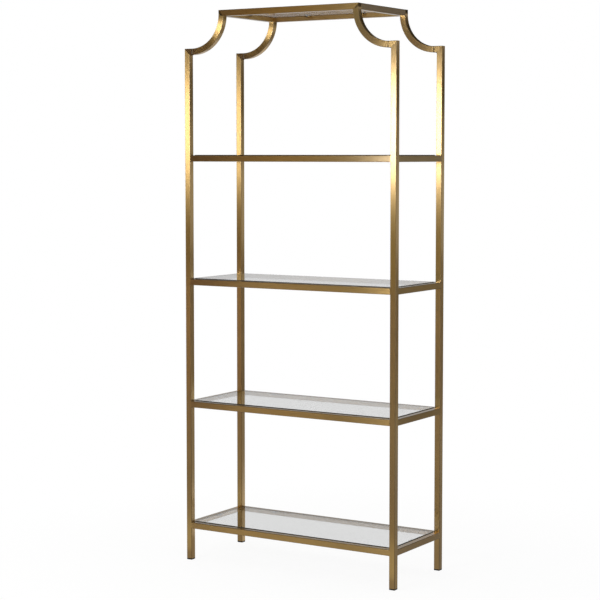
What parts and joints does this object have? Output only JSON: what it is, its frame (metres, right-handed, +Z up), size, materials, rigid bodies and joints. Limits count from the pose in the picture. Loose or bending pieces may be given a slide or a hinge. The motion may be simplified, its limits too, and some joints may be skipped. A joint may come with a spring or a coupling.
{
  "type": "etagere",
  "caption": "Tall open etagere: slim square-tube frame, glass shelves, and a smaller glass top carried on concave quarter-circle arches.",
  "frame": {"origin": "on the floor, midway between the four posts", "axes": "+X along the width to the right, +Y from front to back, +Z up"},
  "size_m": [0.864, 0.35, 1.9832],
  "materials": {
    "brass": "antique brass, brushed along the tubes, satin, with darker edges",
    "glass": "clear tempered glass with bevelled polished edges",
    "cap_plastic": "matt moulded plastic",
    "pad_rubber": "clear soft bumper",
    "plug_steel": "plain mill steel",
    "screw_steel": "blackened steel"
  },
  "bodies": {
    "frame": {"front_left_post": "brass", "front_left_post_stub": "brass", "front_left_arch": "brass", "front_left_arch_plug": "plug_steel", "front_left_foot_cap": "cap_plastic", "front_right_post": "brass", "front_right_post_stub": "brass", "front_right_arch": "brass", "front_right_arch_plug": "plug_steel", "front_right_foot_cap": "cap_plastic", "back_left_post": "brass", "back_left_post_stub": "brass", "back_left_arch": "brass", "back_left_arch_plug": "plug_steel", "back_left_foot_cap": "cap_plastic", "back_right_post": "brass", "back_right_post_stub": "brass", "back_right_arch": "brass", "back_right_arch_plug": "plug_steel", "back_right_foot_cap": "cap_plastic", "arch_screws": "screw_steel", "shelf_1_front_rail": "brass", "shelf_1_back_rail": "brass", "shelf_1_left_rail": "brass", "shelf_1_right_rail": "brass", "shelf_1_tabs": "brass", "shelf_1_pads": "pad_rubber", "shelf_2_front_rail": "brass", "shelf_2_back_rail": "brass", "shelf_2_left_rail": "brass", "shelf_2_right_rail": "brass", "shelf_2_tabs": "brass", "shelf_2_pads": "pad_rubber", "shelf_3_front_rail": "brass", "shelf_3_back_rail": "brass", "shelf_3_left_rail": "brass", "shelf_3_right_rail": "brass", "shelf_3_tabs": "brass", "shelf_3_pads": "pad_rubber", "shelf_4_front_rail": "brass", "shelf_4_back_rail": "brass", "shelf_4_left_rail": "brass", "shelf_4_right_rail": "brass", "shelf_4_tabs": "brass", "shelf_4_pads": "pad_rubber", "top_front_rail": "brass", "top_back_rail": "brass", "top_left_rail": "brass", "top_right_rail": "brass", "top_tabs": "brass", "top_pads": "pad_rubber"},
    "shelf_1_panel": {"shelf_1_glass": "glass"},
    "shelf_2_panel": {"shelf_2_glass": "glass"},
    "shelf_3_panel": {"shelf_3_glass": "glass"},
    "shelf_4_panel": {"shelf_4_glass": "glass"},
    "top_panel": {"top_glass": "glass"}
  },
  "joints": [
    {"name": "shelf_1_glass_lift", "type": "slide", "parent": "frame", "child": "shelf_1_panel", "axis": [0, 0, 1], "range_m": [0, 0.1]},
    {"name": "shelf_2_glass_lift", "type": "slide", "parent": "frame", "child": "shelf_2_panel", "axis": [0, 0, 1], "range_m": [0, 0.1]},
    {"name": "shelf_3_glass_lift", "type": "slide", "parent": "frame", "child": "shelf_3_panel", "axis": [0, 0, 1], "range_m": [0, 0.1]},
    {"name": "shelf_4_glass_lift", "type": "slide", "parent": "frame", "child": "shelf_4_panel", "axis": [0, 0, 1], "range_m": [0, 0.1]},
    {"name": "top_glass_lift", "type": "slide", "parent": "frame", "child": "top_panel", "axis": [0, 0, 1], "range_m": [0, 0.1]}
  ]
}
